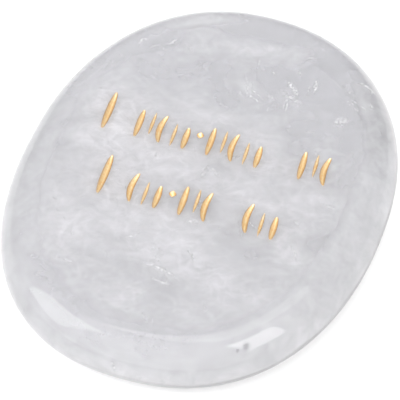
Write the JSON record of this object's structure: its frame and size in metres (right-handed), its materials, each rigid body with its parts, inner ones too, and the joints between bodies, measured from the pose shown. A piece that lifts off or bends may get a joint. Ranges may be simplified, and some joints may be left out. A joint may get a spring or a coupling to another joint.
{
  "type": "engraved pocket stone",
  "caption": "Flat oval pocket stone of milky rock crystal with a rounded edge and rows of gilded V-cut strokes in its top; lies flat on its underside.",
  "frame": {"origin": "middle of the flat underside", "axes": "+X along the rows of strokes, +Y up the rows and along the stone's longer side, +Z out of the engraved top"},
  "size_m": [0.035, 0.045, 0.0062],
  "materials": {
    "crystal": "polished",
    "gold_paint": "satin"
  },
  "bodies": {
    "root": {"stone": "crystal"}
  },
  "joints": []
}
